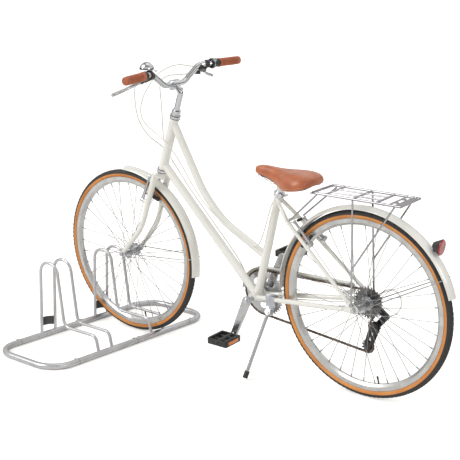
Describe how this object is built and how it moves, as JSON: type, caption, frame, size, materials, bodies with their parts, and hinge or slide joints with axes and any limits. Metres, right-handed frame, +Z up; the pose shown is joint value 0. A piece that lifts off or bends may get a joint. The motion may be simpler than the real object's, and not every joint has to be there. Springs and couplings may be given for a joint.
{
  "type": "step-through bicycle in floor rack",
  "caption": "Step-through city bicycle with mudguards, carrier and side stand, its front wheel in a two-bay tubular steel floor rack.",
  "frame": {"origin": "on the floor, halfway between the two wheel axles in X and at the middle of the rack in Y", "axes": "+Z up; the bicycle heads towards -X; its left side, with the side stand, faces -Y; the bicycle leans 4.2 degrees towards -Y"},
  "size_m": [1.8255, 0.92, 1.1584],
  "materials": {
    "cream_paint": "gloss",
    "rack_steel": "satin",
    "dark_plate": "satin",
    "zinc_bolt": "satin",
    "chrome": "polished",
    "alloy": "satin",
    "spoke_wire": "bright",
    "tyre_rubber": "matte",
    "tan_leather": "semi gloss",
    "grip_rubber": "satin",
    "black_plastic": "satin",
    "chain_steel": "oiled",
    "sprocket_steel": "satin",
    "red_lens": "gloss",
    "cable_white": "gloss"
  },
  "bodies": {
    "rack": {"rack_base": "rack_steel", "wheel_hoops": "rack_steel", "hoop_plates": "dark_plate", "rack_bolts": "zinc_bolt"},
    "frame": {"head_tube": "cream_paint", "top_tube": "cream_paint", "down_tube": "cream_paint", "seat_tube": "cream_paint", "chain_stays": "cream_paint", "seat_stays": "cream_paint", "headset": "chrome", "seat_clamp": "chrome", "rear_mudguard": "cream_paint", "rear_mudguard_stays": "spoke_wire", "carrier": "chrome", "rear_reflector": "black_plastic", "reflector_lens": "red_lens", "chain_guard": "cream_paint", "chain": "chain_steel", "derailleur": "black_plastic", "kickstand_bracket": "zinc_bolt", "rear_axle": "zinc_bolt", "frame_cables": "cable_white"},
    "fork": {"fork": "cream_paint", "stem": "chrome", "handlebar": "chrome", "grips": "grip_rubber", "lever_brackets": "black_plastic", "bell": "chrome", "front_mudguard": "cream_paint", "front_mudguard_stays": "spoke_wire", "front_axle": "zinc_bolt", "front_brake_cable": "cable_white"},
    "front_wheel": {"front_tyre": "tyre_rubber", "front_rim": "alloy", "front_spokes": "spoke_wire", "front_hub": "alloy"},
    "rear_wheel": {"rear_tyre": "tyre_rubber", "rear_rim": "alloy", "rear_spokes": "spoke_wire", "rear_hub": "alloy"},
    "freewheel": {"sprockets": "sprocket_steel"},
    "crankset": {"crank_arms": "alloy", "crank_axle": "zinc_bolt", "chainring": "sprocket_steel"},
    "left_pedal": {"pedal_left": "black_plastic"},
    "right_pedal": {"pedal_right": "black_plastic"},
    "left_lever": {"brake_lever_left": "alloy"},
    "right_lever": {"brake_lever_right": "alloy"},
    "front_left_arm": {"front_brake_arm_left": "alloy"},
    "front_right_arm": {"front_brake_arm_right": "alloy"},
    "rear_left_arm": {"rear_brake_arm_left": "alloy"},
    "rear_right_arm": {"rear_brake_arm_right": "alloy"},
    "shifter": {"shifter_twist": "black_plastic"},
    "bell_thumb": {"bell_lever": "chrome"},
    "stand_leg": {"kickstand": "alloy"},
    "saddle_post": {"seatpost": "chrome", "saddle": "tan_leather"},
    "guide_wheel": {"guide_pulley": "black_plastic"},
    "tension_wheel": {"tension_pulley": "black_plastic"}
  },
  "joints": [
    {"name": "bicycle_lift", "type": "slide", "parent": "rack", "child": "frame", "axis": [0, 0, 1], "range_m": [0, 0.36]},
    {"name": "steering", "type": "hinge", "parent": "frame", "child": "fork", "pos_m": [-0.368, 0.09348, 0.71911], "axis": [0.3338, -0.069, 0.9401], "range_deg": [-0.25, 0.25]},
    {"name": "front_wheel_spin", "type": "hinge", "parent": "fork", "child": "front_wheel", "pos_m": [-0.565, 0.12094, 0.34512], "axis": [0, -0.9973, -0.0732], "continuous": true},
    {"name": "rear_wheel_spin", "type": "hinge", "parent": "frame", "child": "rear_wheel", "pos_m": [0.565, 0.12094, 0.34512], "axis": [0, -0.9973, -0.0732], "continuous": true},
    {"name": "crank_spin", "type": "hinge", "parent": "frame", "child": "crankset", "pos_m": [0.093, 0.12555, 0.28229], "axis": [0, -0.9973, -0.0732], "range_deg": [-250, 20]},
    {"name": "freewheel_spin", "type": "hinge", "parent": "frame", "child": "freewheel", "pos_m": [0.565, 0.12094, 0.34512], "axis": [0, -0.9973, -0.0732], "continuous": true},
    {"name": "guide_wheel_spin", "type": "hinge", "parent": "frame", "child": "guide_wheel", "pos_m": [0.583, 0.12783, 0.25137], "axis": [0, -0.9973, -0.0732], "continuous": true},
    {"name": "tension_wheel_spin", "type": "hinge", "parent": "frame", "child": "tension_wheel", "pos_m": [0.556, 0.13368, 0.17158], "axis": [0, -0.9973, -0.0732], "continuous": true},
    {"name": "left_pedal_spin", "type": "hinge", "parent": "crankset", "child": "left_pedal", "pos_m": [0.02607, 0.13662, 0.13166], "axis": [0, -0.9973, -0.0732], "continuous": true},
    {"name": "right_pedal_spin", "type": "hinge", "parent": "crankset", "child": "right_pedal", "pos_m": [0.15993, 0.11449, 0.43292], "axis": [0, -0.9973, -0.0732], "continuous": true},
    {"name": "left_brake_lever", "type": "hinge", "parent": "fork", "child": "left_lever", "pos_m": [-0.28961, -0.11162, 1.08162], "axis": [-0.5369, -0.1307, 0.8335], "range_deg": [0, 20], "stiffness_Nm_per_rad": 2},
    {"name": "right_brake_lever", "type": "hinge", "parent": "fork", "child": "right_lever", "pos_m": [-0.28961, 0.24342, 1.1077], "axis": [0.5369, -0.0076, -0.8436], "range_deg": [0, 20], "stiffness_Nm_per_rad": 2},
    {"name": "front_left_arm_pivot", "type": "hinge", "parent": "fork", "child": "front_left_arm", "pos_m": [-0.41607, 0.05965, 0.57837], "axis": [-0.9426, -0.0244, 0.3329], "range_deg": [0, 2.4]},
    {"name": "front_right_arm_pivot", "type": "hinge", "parent": "fork", "child": "front_right_arm", "pos_m": [-0.41607, 0.1475, 0.58482], "axis": [0.9426, 0.0244, -0.3329], "range_deg": [0, 2.4]},
    {"name": "rear_left_arm_pivot", "type": "hinge", "parent": "frame", "child": "rear_left_arm", "pos_m": [0.35424, 0.06306, 0.5257], "axis": [-0.6583, 0.0551, -0.7507], "range_deg": [0, 2.4]},
    {"name": "rear_right_arm_pivot", "type": "hinge", "parent": "frame", "child": "rear_right_arm", "pos_m": [0.35424, 0.15182, 0.53221], "axis": [0.6583, -0.0551, 0.7507], "range_deg": [0, 2.4]},
    {"name": "shifter_twist_turn", "type": "hinge", "parent": "fork", "child": "shifter", "pos_m": [-0.24683, 0.26793, 1.1357], "axis": [0.1345, 0.9894, 0.0549], "range_deg": [-45, 75]},
    {"name": "bell_thumb_push", "type": "hinge", "parent": "fork", "child": "bell_thumb", "pos_m": [-0.26761, -0.08157, 1.12294], "axis": [0, -0.0732, 0.9973], "range_deg": [0, 25], "stiffness_Nm_per_rad": 0.05},
    {"name": "stand_fold", "type": "hinge", "parent": "frame", "child": "stand_leg", "pos_m": [0.183, 0.07803, 0.24671], "axis": [0, -0.9163, 0.4004], "range_deg": [0, 92]},
    {"name": "saddle_height", "type": "slide", "parent": "frame", "child": "saddle_post", "axis": [0.2504, -0.0709, 0.9655], "range_m": [-0.005, 0.07]}
  ],
  "couplings": [
    {"joint": "freewheel_spin", "follows": "crank_spin", "ratio": 2.2},
    {"joint": "guide_wheel_spin", "follows": "crank_spin", "ratio": -4},
    {"joint": "tension_wheel_spin", "follows": "crank_spin", "ratio": 4},
    {"joint": "front_left_arm_pivot", "follows": "left_brake_lever", "ratio": 0.12},
    {"joint": "front_right_arm_pivot", "follows": "left_brake_lever", "ratio": 0.12},
    {"joint": "rear_left_arm_pivot", "follows": "right_brake_lever", "ratio": 0.12},
    {"joint": "rear_right_arm_pivot", "follows": "right_brake_lever", "ratio": 0.12}
  ]
}
